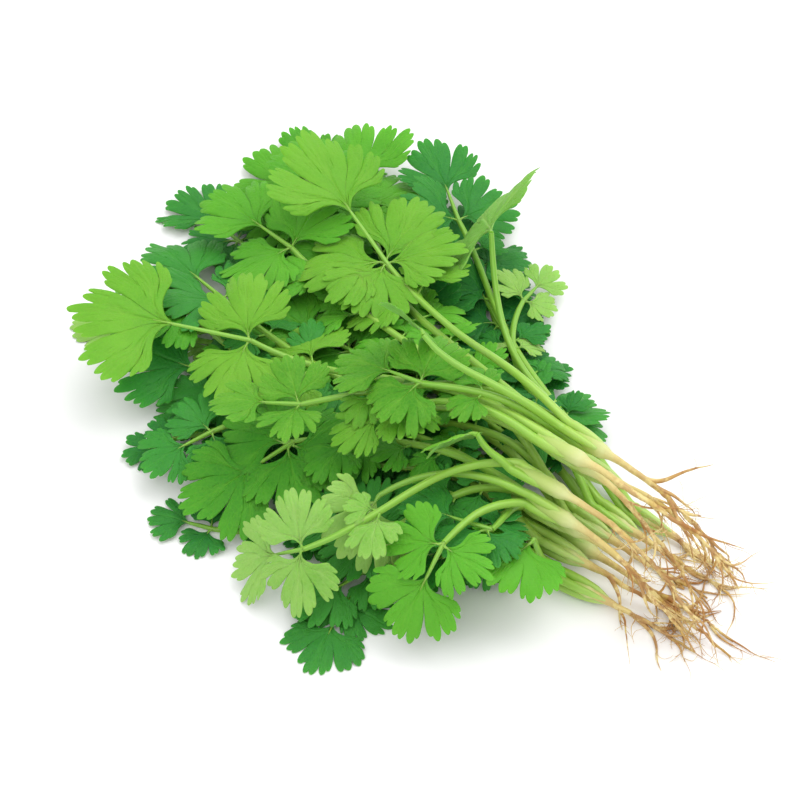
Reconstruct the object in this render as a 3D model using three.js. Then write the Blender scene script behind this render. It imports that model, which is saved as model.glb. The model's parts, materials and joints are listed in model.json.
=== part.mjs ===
// A bunch of thirteen whole coriander plants lying on a flat surface.
// Every plant is one root (crown and taproot) and three or four leaves (stalk and blade).
// The plants are laid on the pile one by one, and each piece rests just clear of what lies under it.
// Frame: +X towards the roots, -X towards the leaves, +Z up, origin under the middle of the bunch.
// Millimetres and degrees.
import * as THREE from "three";

// ---- Driving dimensions ----
const BLADE_THICKNESS = 0.7;
const HUB_HALF = 1; // half the width of the knot where the leaflets meet the stalk
const STALK_RADIUS = { foot: 1.4, top: 0.95 };
const STALK_STEP = 12; // aimed distance between two sections of a stalk
const STALK_SIDES = 6;
const ROOT_SIDES = 8;
const CROWN_LENGTH = 18;
const TAPROOT_LENGTH = 50;
const JOINT_GAP = 0.45; // between a stalk's foot and its crown
const PILE_GAP = 0.35; // between a piece and the pile under it
const COLLAR = 7; // the stretch of each stalk that leaves the crown level with it
const STALK_SPRING = 0.01; // how sharply a stalk bends over its high places, per mm
const ROOT_SPRING = 0.01;
const BLADE_TURNS = [-16, -8, 0, 8, 16]; // changes of pitch and roll that a blade tries as it settles
const LEAFLET_TILTS = [-0.5, -0.38, -0.26, -0.14, -0.02, 0.1, 0.22, 0.34, 0.46];

// Distance from a crown's front, share of the crown's radius, for the crown and the taproot.
const CROWN_RADIUS = 3;
const ROOT_SECTIONS = [
  [0, 0.78],
  [5, 0.9],
  [10, 1],
  [15, 0.96],
  [CROWN_LENGTH, 0.66],
  [CROWN_LENGTH + 5, 0.52],
  [CROWN_LENGTH + 15, 0.44],
  [CROWN_LENGTH + 27, 0.34],
  [CROWN_LENGTH + 39, 0.24],
  [CROWN_LENGTH + TAPROOT_LENGTH, 0.13],
];

// Where the stalks of one plant start, across and above the crown's axis.
const FOOT_SPOTS = {
  2: [[-1.6, 0], [1.6, 0]],
  3: [[-1.6, -1.4], [1.6, -1.4], [0, 1.6]],
  4: [[-1.6, -1.4], [1.6, -1.4], [-1.6, 1.6], [1.6, 1.6]],
};

// Leaflet outlines, as [angle from its axis, share of its radius], from one base corner to the other.
const TERMINAL = {
  neck: 0.28, // share of the leaf's length that is bare stalk
  outline: [
    [-66, 0.3], [-48, 0.78], [-38, 0.68], [-27, 0.96], [-18, 0.56], [-9, 0.95],
    [0, 1],
    [9, 0.95], [18, 0.56], [27, 0.96], [38, 0.68], [48, 0.78], [66, 0.3],
  ],
};
const LATERAL = {
  outline: [
    [-56, 0.3], [-42, 0.82], [-27, 0.55], [-13, 0.97], [5, 1],
    [18, 0.64], [32, 0.94], [52, 0.8], [74, 0.34],
  ],
};
const LATERAL_SIZE = 0.64; // radius of a side leaflet as a share of the leaf's length
const FAN_CENTRE = 0.15; // where a leaflet's facets meet, as a share of its radius

// The leaves and where their leaflets sit on the knot: axis angle, share of full width.
const THREE_LEAFLETS = { front: [78, 1] };
const FIVE_LEAFLETS = { front: [64, 0.58], rear: [124, 0.58] };

// ---- The plants, from the bottom of the pile to the top ----
// Every place is given from the neck of the bunch: fan is the angle from -X towards +Y, reach the distance.
// A leaf's place is where its blade starts, and length is from there to its tip.
// neck and side stand in for the usual neck and side leaflets on the two largest leaves.
const NECK = new THREE.Vector2(80, -8);
const PLANTS = [
  {
    crown: [88, -24], tip: [136, -17], looks: "deep",
    leaves: [
      { fan: -62, reach: 76, heading: -111, length: 28, leaflets: 3 },
      { fan: -55, reach: 67, heading: -85, length: 28, leaflets: 3 },
      { fan: -56, reach: 35, heading: -80, length: 26, leaflets: 3 },
      { fan: -93, reach: 22, heading: -92, length: 24, leaflets: 1 },
    ],
  },
  {
    crown: [76, -18.5], tip: [128, -12], looks: "deep",
    leaves: [
      { fan: -17, reach: 115, heading: -28, length: 30, leaflets: 5 },
      { fan: -25, reach: 91, heading: -38, length: 26, leaflets: 3 },
      { fan: -40, reach: 114, heading: -26, length: 21, leaflets: 3 },
      { fan: -25, reach: 134, heading: -66, length: 17, leaflets: 3 },
    ],
  },
  {
    crown: [74, -10], tip: [142, -6], looks: "deep",
    leaves: [
      { fan: -1, reach: 102, heading: -54, length: 27, leaflets: 3 },
      { fan: -9, reach: 163, heading: -35, length: 28, leaflets: 3 },
      { fan: -12, reach: 124, heading: -24, length: 42, leaflets: 5 },
    ],
  },
  {
    crown: [78, 6], tip: [130, 8], looks: "deep",
    leaves: [
      { fan: 28, reach: 138, heading: 38, length: 34, leaflets: 3 },
      { fan: 35, reach: 121, heading: 30, length: 32, leaflets: 3 },
      { fan: 35, reach: 93, heading: 22, length: 30, leaflets: 5 },
      { fan: 39, reach: 40, heading: 16, length: 37, leaflets: 5 },
    ],
  },
  {
    crown: [74, -2], tip: [126, 2], looks: "mid",
    leaves: [
      { fan: 9, reach: 138, heading: -4, length: 36, leaflets: 3 },
      { fan: 8, reach: 172, heading: 5, length: 34, leaflets: 5 },
      { fan: -8, reach: 149, heading: 0, length: 36, leaflets: 3 },
      { fan: 23, reach: 180, heading: 12, length: 32, leaflets: 3 },
    ],
  },
  {
    crown: [69, -14], tip: [145, -11], looks: "mid",
    leaves: [
      { fan: -23, reach: 68, heading: -8, length: 26, leaflets: 3 },
      { fan: -25, reach: 120, heading: -74, length: 28, leaflets: 3 },
      { fan: -47, reach: 64, heading: -20, length: 30, leaflets: 3 },
      { fan: -71, reach: 32, heading: -24, length: 28, leaflets: 5 },
    ],
  },
  {
    crown: [71, 3], tip: [128, 12], looks: "mid",
    leaves: [
      { fan: 21, reach: 107, heading: 10, length: 32, leaflets: 3 },
      { fan: 17, reach: 167, heading: 18, length: 42, leaflets: 3 },
      { fan: 23, reach: 155, heading: 41, length: 42, leaflets: 5, pitch: -6 },
      { fan: 17, reach: 158, heading: 38, length: 38, leaflets: 3, pitch: -6 },
    ],
  },
  {
    crown: [67, -6], tip: [134, -9], looks: "mid",
    leaves: [
      { fan: 4, reach: 102, heading: -10, length: 38, leaflets: 5 },
      { fan: -3, reach: 146, heading: 8, length: 42, leaflets: 3 },
      { fan: 9, reach: 145, heading: 2, length: 42, leaflets: 3 },
    ],
  },
  {
    crown: [72, -21.5], tip: [137, -19], looks: "mid",
    leaves: [
      { fan: -26, reach: 93, heading: -75, length: 41, leaflets: 5 },
      { fan: -76, reach: 50, heading: -103, length: 30, leaflets: 3 },
      { fan: -42, reach: 61, heading: -100, length: 26, leaflets: 1, roll: -62 },
    ],
  },
  {
    crown: [66, -10.5], tip: [138, -3], looks: "bright",
    leaves: [
      { fan: -10, reach: 122, heading: -31, length: 58, leaflets: 3, neck: 0.37, side: 0.5, pitch: -20 },
      { fan: -18, reach: 58, heading: -64, length: 26, leaflets: 3 },
    ],
  },
  {
    crown: [86, 13], tip: [124, 15], looks: "mid",
    leaves: [
      { fan: 34, reach: 140, heading: 31, length: 38, leaflets: 3, pitch: 14 },
      { fan: 41, reach: 99, heading: 81, length: 20, leaflets: 3, pitch: 10 },
      { fan: 35, reach: 106, heading: 46, length: 34, leaflets: 1, roll: -66 },
    ],
  },
  {
    crown: [64, -18.5], tip: [141, -14], looks: "pale",
    leaves: [
      { fan: -57, reach: 87, heading: -30, length: 30, leaflets: 3 },
      { fan: -33, reach: 32, heading: -20, length: 16, leaflets: 1, roll: 60 },
    ],
  },
  {
    crown: [68, 0], tip: [136, 3], looks: "bright",
    leaves: [
      { fan: -23, reach: 91, heading: -43, length: 30, leaflets: 3, pitch: -12 },
      { fan: -13, reach: 55, heading: -10, length: 32, leaflets: 3, pitch: 12 },
      { fan: 18, reach: 118, heading: 12, length: 54, leaflets: 5, neck: 0.33, side: 0.6 },
      { fan: -5, reach: 59, heading: 34, length: 16, leaflets: 1, roll: 62 },
    ],
  },
];

const LOOKS = {
  deep: { color: 0x2f7a33, roughness: 0.6, metalness: 0 },
  mid: { color: 0x4a9a33, roughness: 0.58, metalness: 0 },
  bright: { color: 0x68b52f, roughness: 0.55, metalness: 0 },
  pale: { color: 0x8cc63f, roughness: 0.55, metalness: 0 },
  root: { color: 0xc9a36a, roughness: 0.8, metalness: 0 },
};

// ---- Small helpers ----
const radians = THREE.MathUtils.degToRad;
const UP = new THREE.Vector3(0, 0, 1);

// Repeatable numbers from 0 to 1.
function seeded(seed) {
  let state = seed >>> 0;
  return () => {
    state = (state + 0x6d2b79f5) >>> 0;
    let t = Math.imul(state ^ (state >>> 15), 1 | state);
    t = (t + Math.imul(t ^ (t >>> 7), 61 | t)) ^ t;
    return ((t ^ (t >>> 14)) >>> 0) / 2 ** 32;
  };
}

// The direction at an angle from -X towards +Y.
function fanDirection(degrees) {
  const a = radians(degrees);
  return new THREE.Vector2(-Math.cos(a), Math.sin(a));
}

// A closed triangle mesh that grows by points and faces.
class Shell {
  constructor() {
    this.points = [];
    this.faces = [];
  }
  add(point) {
    return this.points.push(point) - 1;
  }
  quad(a, b, c, d) {
    this.faces.push([a, b, c], [a, c, d]);
  }
  geometry(origin) {
    const placed = this.points.map((p) => p.clone().sub(origin));
    return new THREE.BufferGeometry().setFromPoints(placed).setIndex(this.faces.flat());
  }
}

// ---- The pile: how high the pieces laid so far reach, on a grid of small square cells ----
const CELL = 0.5;
const PILE_HALF = 200;
const PILE_CELLS = (2 * PILE_HALF) / CELL;
const pile = new Float32Array(PILE_CELLS ** 2);

function pileCell(x, y) {
  return Math.round((x + PILE_HALF) / CELL) + PILE_CELLS * Math.round((y + PILE_HALF) / CELL);
}
function heightAt(x, y) {
  return pile[pileCell(x, y)];
}
function raisePile(x, y, z) {
  const middle = pileCell(x, y);
  for (const row of [-PILE_CELLS, 0, PILE_CELLS]) {
    for (const column of [-1, 0, 1]) {
      const cell = middle + row + column;
      if (pile[cell] < z) pile[cell] = z;
    }
  }
}

// ---- Tubes: stalks and roots ----
// A route in plan is a Bezier curve, and its sections are at known distances along it.
class Route {
  constructor(from, startDirection, to, endDirection) {
    const pull = from.distanceTo(to) * 0.38;
    this.curve = new THREE.CubicBezierCurve(
      from,
      from.clone().addScaledVector(startDirection, pull),
      to.clone().addScaledVector(endDirection, -pull),
      to,
    );
    this.length = this.curve.getLength();
  }
  at(distance) {
    return this.curve.getPointAt(Math.min(1, distance / this.length));
  }
  side(distance) {
    const t = this.curve.getTangentAt(Math.min(1, distance / this.length));
    return new THREE.Vector2(-t.y, t.x);
  }
}

// The lowest that a round tube's axis can lie at this distance, clear of the pile.
function axisNeeds(route, distance, radius) {
  const middle = route.at(distance);
  const side = route.side(distance);
  let needs = 0;
  for (let share = -1; share <= 1; share += 0.25) {
    const p = middle.clone().addScaledVector(side, share * radius);
    const rise = radius * Math.sqrt(1 - share * share);
    needs = Math.max(needs, heightAt(p.x, p.y) + rise + PILE_GAP);
  }
  return needs;
}

// Section heights of a springy tube: it bows over its high places, and its straight runs clear the pile.
// The foot's height is fixed when it is given.
function restOnPile(route, sections, spring, footHeight) {
  const stations = [];
  sections.slice(1).forEach(([end, endRadius], i) => {
    const [start, startRadius] = sections[i];
    const steps = Math.ceil((end - start) / 0.8);
    for (let s = 0; s <= steps; s++) {
      const share = s / steps;
      const d = THREE.MathUtils.lerp(start, end, share);
      const radius = THREE.MathUtils.lerp(startRadius, endRadius, share);
      stations.push({ run: i, share, d, needs: axisNeeds(route, d, radius) });
    }
  });
  const fixed = footHeight !== undefined;
  if (fixed) stations.push({ run: 0, share: 0, d: 0, needs: footHeight });
  const heights = sections.map(([d]) => Math.max(...stations.map((s) => s.needs - spring * (d - s.d) ** 2)));
  if (fixed) heights[0] = footHeight;
  for (let round = 0; round < 40; round++) {
    for (const { run, share, needs } of stations) {
      const short = needs - THREE.MathUtils.lerp(heights[run], heights[run + 1], share);
      if (short <= 0) continue;
      if (fixed && run === 0) {
        if (share * sections[1][0] > COLLAR) heights[1] += short / share;
        continue;
      }
      heights[run] += short * (1 - share);
      heights[run + 1] += short * share;
    }
  }
  return heights;
}

// Section centres in space, each with its radius.
function spine(route, sections, heights) {
  return sections.map(([distance, radius], i) => {
    const p = route.at(distance);
    return { centre: new THREE.Vector3(p.x, p.y, heights[i]), radius };
  });
}

function layTubeOnPile(sections) {
  for (let i = 1; i < sections.length; i++) {
    const [a, b] = [sections[i - 1], sections[i]];
    const run = b.centre.clone().sub(a.centre);
    const side = new THREE.Vector3().crossVectors(UP, run).normalize();
    const steps = Math.ceil(run.length() / CELL);
    for (let s = 0; s <= steps; s++) {
      const radius = THREE.MathUtils.lerp(a.radius, b.radius, s / steps);
      const middle = a.centre.clone().addScaledVector(run, s / steps);
      for (let share = -1; share <= 1; share += 0.125) {
        const p = middle.clone().addScaledVector(side, share * radius);
        raisePile(p.x, p.y, middle.z + radius * Math.sqrt(1 - share * share));
      }
    }
  }
}

// One ring of points round each section, from the upper left over the top, seen along the tube.
// The first ring stands square to the direction the tube starts in, and the last can turn to a blade's side.
function addRings(shell, sections, sides, start, lastSide) {
  return sections.map(({ centre, radius }, i) => {
    const before = sections[Math.max(0, i - 1)].centre;
    const after = sections[Math.min(sections.length - 1, i + 1)].centre;
    const along = after.clone().sub(before).normalize();
    if (i === 0) along.set(start.x, start.y, 0);
    const side = new THREE.Vector3().crossVectors(UP, along).normalize();
    if (lastSide) side.lerp(lastSide, (i / sections.length) ** 4);
    side.addScaledVector(along, -side.dot(along)).normalize();
    const up = new THREE.Vector3().crossVectors(along, side);
    return Array.from({ length: sides }, (_, k) => {
      const a = radians((360 * (k + 0.5)) / sides);
      const point = centre.clone().addScaledVector(side, radius * Math.cos(a));
      return shell.add(point.addScaledVector(up, radius * Math.sin(a)));
    });
  });
}

function joinRings(shell, a, b) {
  const n = a.length;
  for (let k = 0; k < n; k++) shell.quad(a[k], a[(k + 1) % n], b[(k + 1) % n], b[k]);
}

function capRing(shell, ring, facesBack) {
  for (let k = 1; k < ring.length - 1; k++) {
    const face = [ring[0], ring[k], ring[k + 1]];
    shell.faces.push(facesBack ? face.reverse() : face);
  }
}

// ---- Blades ----
// A leaflet's outline in the leaf's flat plane: x forward, y to the left, from the knot's edge round to it.
function leafletOutline(edge, axisDegrees, neck, radius, outline) {
  const axis = radians(axisDegrees);
  const forward = new THREE.Vector2(Math.cos(axis), Math.sin(axis));
  const middle = edge[0].clone().add(edge[1]).multiplyScalar(0.5);
  const apex = middle.clone().addScaledVector(forward, neck);
  const rim = outline.map(([degrees, share]) => {
    const a = axis + radians(degrees);
    return apex.clone().add(new THREE.Vector2(Math.cos(a), Math.sin(a)).multiplyScalar(share * radius));
  });
  if (neck > HUB_HALF) {
    const left = new THREE.Vector2(-forward.y, forward.x).multiplyScalar(HUB_HALF * 0.8);
    rim.unshift(apex.clone().sub(left));
    rim.push(apex.clone().add(left));
  }
  const centre = apex.clone().addScaledVector(forward, FAN_CENTRE * radius + HUB_HALF);
  return { rim, centre, middle, forward };
}

// The flat blade: the knot's corners from back left round to front left, and a leaflet on each side edge.
function flatBlade(leaf) {
  const five = leaf.leaflets === 5;
  const { front, rear } = five ? FIVE_LEAFLETS : THREE_LEAFLETS;
  const reach = five ? 2 * HUB_HALF : HUB_HALF;
  const corner = (x, y) => new THREE.Vector2(x, y);
  const right = [corner(-reach, -HUB_HALF), corner(reach, -HUB_HALF)];
  if (five) right.splice(1, 0, corner(0, -1.4 * HUB_HALF));
  const left = right.map((p) => corner(p.x, -p.y)).reverse();
  const hub = [...right, ...left, corner(-reach, 0)];
  const length = leaf.length;
  const mirrored = LATERAL.outline.map(([a, r]) => [-a, r]).reverse();
  const scaled = (outline, width) => outline.map(([a, r]) => [a * width, r]);
  const leaflets = [];
  const attach = (from, axis, neck, radius, outline) => {
    const edge = [hub[from], hub[from + 1]];
    leaflets.push({ from, ...leafletOutline(edge, axis, neck, radius, outline) });
  };
  const sideRadius = length * (leaf.side ?? LATERAL_SIZE);
  if (five) attach(0, -rear[0], 0, sideRadius * 0.85, scaled(mirrored, rear[1]));
  if (leaf.leaflets > 1) attach(five ? 1 : 0, -front[0], 0, sideRadius, scaled(mirrored, front[1]));
  const neck = leaf.leaflets > 1 ? length * (leaf.neck ?? TERMINAL.neck) : 0;
  attach(right.length - 1, 0, neck, length - neck, TERMINAL.outline);
  if (leaf.leaflets > 1) attach(right.length, front[0], 0, sideRadius, scaled(LATERAL.outline, front[1]));
  if (five) attach(right.length + 1, rear[0], 0, sideRadius * 0.85, scaled(LATERAL.outline, rear[1]));
  return { hub, leaflets };
}

// How far a point of the bent blade lies above its flat plane: the tips droop and the rim ripples.
function bend(leaf, p) {
  const from = p.length() / leaf.length;
  const droop = -leaf.droop * leaf.length * from * from;
  return droop + leaf.ripple * from * Math.sin(3 * Math.atan2(p.y, p.x) + leaf.phase);
}

// A blade turned by its heading, pitch and roll, with its knot at the origin.
function poseOf(leaf, pitch, roll) {
  const turn = new THREE.Matrix4().makeRotationZ(radians(180 - leaf.heading));
  turn.multiply(new THREE.Matrix4().makeRotationY(radians(-pitch)));
  turn.multiply(new THREE.Matrix4().makeRotationX(radians(roll)));
  const hub = leaf.flat.hub.map((p) => new THREE.Vector3(p.x, p.y, 0).applyMatrix4(turn));
  const normal = new THREE.Vector3(0, 0, 1).transformDirection(turn);
  const side = new THREE.Vector3(0, 1, 0).transformDirection(turn);
  return { turn, hub, normal, side };
}

// One leaflet in that pose, tilted about its edge of the knot.
function posedLeaflet(leaf, leaflet, pose, tilt) {
  const place = (p) => {
    const out = Math.max(0, p.clone().sub(leaflet.middle).dot(leaflet.forward));
    return new THREE.Vector3(p.x, p.y, bend(leaf, p) + out * tilt).applyMatrix4(pose.turn);
  };
  return { from: leaflet.from, rim: leaflet.rim.map(place), centre: place(leaflet.centre) };
}

// Points all over a posed leaflet.
function leafletSamples({ from, rim, centre }, hub, step) {
  const found = [];
  const ring = [hub[from], ...rim, hub[from + 1]];
  for (let k = 1; k < ring.length; k++) {
    const [a, b] = [ring[k - 1], ring[k]];
    const steps = Math.ceil(Math.max(a.distanceTo(centre), b.distanceTo(centre), a.distanceTo(b)) / step);
    for (let i = 0; i <= steps; i++) {
      for (let j = 0; j <= steps - i; j++) {
        const p = centre.clone().multiplyScalar((steps - i - j) / steps);
        found.push(p.addScaledVector(a, i / steps).addScaledVector(b, j / steps));
      }
    }
  }
  return found;
}

// How high the knot must be for a posed leaflet to lie clear of the pile, and how its height compares.
function layLeaflet(posed, pose, knot, tilt) {
  const half = halfHeight(pose.normal);
  const samples = leafletSamples(posed, pose.hub, 1);
  let lift = 0;
  let mean = 0;
  for (const p of samples) {
    lift = Math.max(lift, heightAt(knot.x + p.x, knot.y + p.y) + PILE_GAP + half - p.z);
    mean += p.z / samples.length;
  }
  return { posed, lift, mean, tilt };
}

function halfHeight(normal) {
  return BLADE_THICKNESS / 2 / Math.max(0.4, Math.abs(normal.z));
}

// Tries small changes of pitch and roll and a tilt for each leaflet, and keeps the blade that lies lowest.
function settleBlade(leaf, knot) {
  let best = null;
  for (const pitch of BLADE_TURNS) {
    for (const roll of BLADE_TURNS) {
      const pose = poseOf(leaf, leaf.pitch + pitch, leaf.roll + roll);
      const trials = leaf.flat.leaflets.map((leaflet) => LEAFLET_TILTS.map((tilt) => (
        layLeaflet(posedLeaflet(leaf, leaflet, pose, tilt), pose, knot, tilt))));
      const lift = Math.max(...trials.map((options) => Math.min(...options.map((o) => o.lift + 2 * Math.abs(o.tilt)))));
      const chosen = trials.map((options) => options.find((o) => o.lift <= lift));
      const mean = chosen.reduce((sum, o) => sum + o.mean, 0) / chosen.length;
      const cost = lift + mean + (Math.abs(pitch) + Math.abs(roll)) * 0.05;
      if (!best || cost < best.cost) best = { ...pose, leaflets: chosen.map((o) => o.posed), lift, cost };
    }
  }
  return best;
}

function addBlade(shell, blade, knot) {
  const halfThick = blade.normal.clone().multiplyScalar(BLADE_THICKNESS / 2);
  const both = (p) => [
    shell.add(p.clone().add(knot).add(halfThick)),
    shell.add(p.clone().add(knot).sub(halfThick)),
  ];
  const hub = blade.hub.map(both);
  const last = hub.length - 1;
  for (let k = 0; k < last - 1; k++) {
    shell.faces.push([hub[last][0], hub[k][0], hub[k + 1][0]]);
    shell.faces.push([hub[last][1], hub[k + 1][1], hub[k][1]]);
  }
  for (const { from, rim, centre } of blade.leaflets) {
    const ring = [hub[from], ...rim.map(both), hub[from + 1]];
    const [top, bottom] = both(centre);
    for (let k = 1; k < ring.length; k++) {
      const [a, b] = [ring[k - 1], ring[k]];
      shell.faces.push([top, a[0], b[0]], [bottom, b[1], a[1]]);
      shell.quad(a[0], a[1], b[1], b[0]);
    }
    shell.faces.push([top, hub[from + 1][0], hub[from][0]], [bottom, hub[from][1], hub[from + 1][1]]);
  }
  const bare = (k) => blade.leaflets.every(({ from }) => from !== k);
  for (let k = 0; k < last - 1; k++) {
    if (bare(k)) shell.quad(hub[k][0], hub[k][1], hub[k + 1][1], hub[k + 1][0]);
  }
  const [backRight, backLeft, back] = [hub[0], hub[last - 1], hub[last]];
  return [backLeft[0], back[0], backRight[0], backRight[1], back[1], backLeft[1]];
}

// ---- Leaves: a stalk from the crown and the blade at its end ----
function describeLeaf(spec, number) {
  const chance = seeded(number * 7919 + 17);
  const within = (low, high) => low + (high - low) * chance();
  const leaf = {
    pitch: spec.reach > 100 ? -10 : -2,
    roll: within(-12, 12),
    ...spec,
    droop: within(0, 0.08),
    ripple: within(0.4, 1.6),
    phase: within(0, 2 * Math.PI),
  };
  leaf.flat = flatBlade(leaf);
  return leaf;
}

function layLeaf(leaf, foot, footHeight, aim) {
  const knot = fanDirection(leaf.fan).multiplyScalar(leaf.reach).add(NECK);
  const route = new Route(foot, fanDirection(aim), knot, fanDirection(leaf.heading));
  const count = Math.min(13, Math.max(4, Math.round(route.length / STALK_STEP)));
  const sections = Array.from({ length: count + 1 }, (_, i) => {
    const share = (i / count) * (1 - 2.2 * (HUB_HALF / route.length));
    return [share * route.length, THREE.MathUtils.lerp(STALK_RADIUS.foot, STALK_RADIUS.top, share)];
  });
  const blade = settleBlade(leaf, knot);
  const heights = restOnPile(route, sections, STALK_SPRING, footHeight);
  heights[count] = Math.max(heights[count], blade.lift);
  const stalk = spine(route, sections, heights);
  const slope = (heights[count] - heights[count - 1]) / (sections[count][0] - sections[count - 1][0]);
  const rise = Math.max(0, slope) * 2.2 * HUB_HALF;
  const place = new THREE.Vector3(knot.x, knot.y, Math.max(blade.lift, heights[count] + rise));

  const shell = new Shell();
  const rings = addRings(shell, stalk, STALK_SIDES, fanDirection(aim), blade.side);
  rings.slice(1).forEach((ring, i) => joinRings(shell, rings[i], ring));
  capRing(shell, rings[0], true);
  joinRings(shell, rings[count], addBlade(shell, blade, place));

  layTubeOnPile([...stalk, { centre: place, radius: STALK_RADIUS.top }]);
  for (const leaflet of blade.leaflets) {
    for (const p of leafletSamples(leaflet, blade.hub, CELL)) {
      raisePile(knot.x + p.x, knot.y + p.y, place.z + p.z + halfHeight(blade.normal));
    }
  }
  return { shell, origin: stalk[0].centre };
}

// ---- Roots: the swollen crown and its taproot ----
function layRoot(plant, footSpots, aim) {
  const front = new THREE.Vector2(...plant.crown);
  const back = fanDirection(aim).negate();
  const tip = new THREE.Vector2(...plant.tip);
  const route = new Route(front, back, tip, new THREE.Vector2(1, 0));
  const full = CROWN_LENGTH + TAPROOT_LENGTH;
  const sections = ROOT_SECTIONS.map(([d, share]) => [(d / full) * route.length, share * CROWN_RADIUS]);
  const heights = restOnPile(route, sections, ROOT_SPRING);
  const crownSections = sections.filter(([d]) => d <= (CROWN_LENGTH / full) * route.length).length;
  const collar = new Route(front.clone().addScaledVector(back, -COLLAR), back, front, back);
  let level = Math.max(...heights.slice(0, crownSections));
  for (let d = 0; d <= COLLAR; d += 0.8) {
    for (const [across, above] of footSpots) {
      const beside = collar.at(d).addScaledVector(collar.side(d), across);
      level = Math.max(level, heightAt(beside.x, beside.y) + STALK_RADIUS.foot + PILE_GAP - above);
    }
  }
  heights.forEach((h, i) => {
    heights[i] = i < crownSections ? level : Math.max(h, level - ROOT_SPRING * (sections[i][0] - sections[crownSections - 1][0]) ** 2);
  });
  const body = spine(route, sections, heights);
  const shell = new Shell();
  const rings = addRings(shell, body, ROOT_SIDES, back, null);
  rings.slice(1).forEach((ring, i) => joinRings(shell, rings[i], ring));
  capRing(shell, rings[0], true);
  capRing(shell, rings[rings.length - 1], false);
  layTubeOnPile(body);
  return { shell, origin: body[0].centre, level };
}

// ---- The bunch ----
const twoDigits = (n) => String(n).padStart(2, "0");
const materials = Object.fromEntries(
  Object.entries(LOOKS).map(([name, look]) => [name, new THREE.MeshStandardMaterial({ name, ...look })]),
);

function pieceMesh(name, { shell, origin }, material) {
  const mesh = new THREE.Mesh(shell.geometry(origin), material);
  mesh.name = name;
  mesh.position.copy(origin);
  return mesh;
}

// A crown points a little towards the middle of its leaves.
function plantAim({ leaves }) {
  return (0.12 * leaves.reduce((sum, { fan }) => sum + fan, 0)) / leaves.length;
}

function buildBunch() {
  const bunch = new THREE.Group();
  let leafNumber = 0;
  PLANTS.forEach((plant, p) => {
    const group = new THREE.Group();
    const spots = FOOT_SPOTS[plant.leaves.length];
    const aim = plantAim(plant);
    const root = layRoot(plant, spots, aim);
    group.add(pieceMesh(`root_${twoDigits(p + 1)}`, root, materials.root));
    const forward = fanDirection(aim);
    const left = new THREE.Vector2(-forward.y, forward.x);
    plant.leaves.forEach((spec, i) => {
      leafNumber += 1;
      const [across, above] = spots[i];
      const foot = new THREE.Vector2(...plant.crown)
        .addScaledVector(forward, JOINT_GAP)
        .addScaledVector(left, across);
      const leaf = layLeaf(describeLeaf(spec, leafNumber), foot, root.level + above, aim);
      group.add(pieceMesh(`leaf_${twoDigits(leafNumber)}`, leaf, materials[plant.looks]));
    });
    bunch.add(group);
  });
  return bunch;
}

// The origin goes under the middle of the bunch, on the surface it lies on.
const bunch = buildBunch();
const box = new THREE.Box3().setFromObject(bunch);
const middle = box.getCenter(new THREE.Vector3());
bunch.position.set(-middle.x, -middle.y, -box.min.z);
const coriander = new THREE.Group();
coriander.add(bunch);

export default coriander;
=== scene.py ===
"""A bunch of whole coriander plants lying on a pale floor.

Every CAD leaf is replaced by a fine one: a ribbed stalk and thin lobed leaflets with veins, laid where the
CAD leaf lies.  Every CAD root is replaced by a swollen crown with a wrinkled taproot and its side rootlets.
Lengths are in metres.
"""
import json
import math
import random

import bmesh
import bpy
import numpy as np
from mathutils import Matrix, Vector


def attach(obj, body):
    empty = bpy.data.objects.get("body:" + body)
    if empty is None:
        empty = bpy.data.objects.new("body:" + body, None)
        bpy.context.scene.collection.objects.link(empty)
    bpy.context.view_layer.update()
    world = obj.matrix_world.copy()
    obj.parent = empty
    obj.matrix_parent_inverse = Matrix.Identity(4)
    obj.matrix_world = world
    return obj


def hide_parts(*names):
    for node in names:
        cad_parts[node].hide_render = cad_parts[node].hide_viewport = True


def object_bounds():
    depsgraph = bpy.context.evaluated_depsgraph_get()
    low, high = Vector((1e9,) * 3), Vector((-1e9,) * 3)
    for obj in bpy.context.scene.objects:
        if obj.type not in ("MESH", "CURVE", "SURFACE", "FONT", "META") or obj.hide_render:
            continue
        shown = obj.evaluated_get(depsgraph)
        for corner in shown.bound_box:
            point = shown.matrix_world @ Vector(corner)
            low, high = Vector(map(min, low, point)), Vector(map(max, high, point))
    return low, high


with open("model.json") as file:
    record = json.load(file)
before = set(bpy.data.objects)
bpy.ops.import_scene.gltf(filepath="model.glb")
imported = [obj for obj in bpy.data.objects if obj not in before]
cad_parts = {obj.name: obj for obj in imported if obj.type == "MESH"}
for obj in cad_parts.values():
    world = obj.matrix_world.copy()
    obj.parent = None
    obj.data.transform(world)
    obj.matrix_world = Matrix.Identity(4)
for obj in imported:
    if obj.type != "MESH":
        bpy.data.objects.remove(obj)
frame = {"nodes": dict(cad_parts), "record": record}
cad_low, cad_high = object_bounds()
scene = bpy.context.scene

MM = 0.001

# ---- Sizes that the CAD solids leave open ----
LAMINA = 0.28 * MM  # thickness of a blade
LAMINA_RIM = 0.10 * MM  # thickness at its margin
LEAFLET_ROWS = 17  # from a leaflet's apex to its margin
STALK_SIDES = 14
STALK_STEP = 1.6 * MM
ROOT_SIDES = 22
ROOT_STEP = 1.0 * MM
ROOTLETS = 9  # side rootlets on each root
HAIRS = 2  # on each rootlet
SHARP_ANGLE = math.radians(62)


# ---- Camera ----
AZIMUTH, ELEVATION = math.radians(42), math.radians(48)
LENS = 120.0
FIELD = 264 * MM  # width of the view where the bunch lies
AIM_SHARES = (0.4663, 0.5107)  # where the view's middle falls, as shares of the CAD box along X and Y


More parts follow.
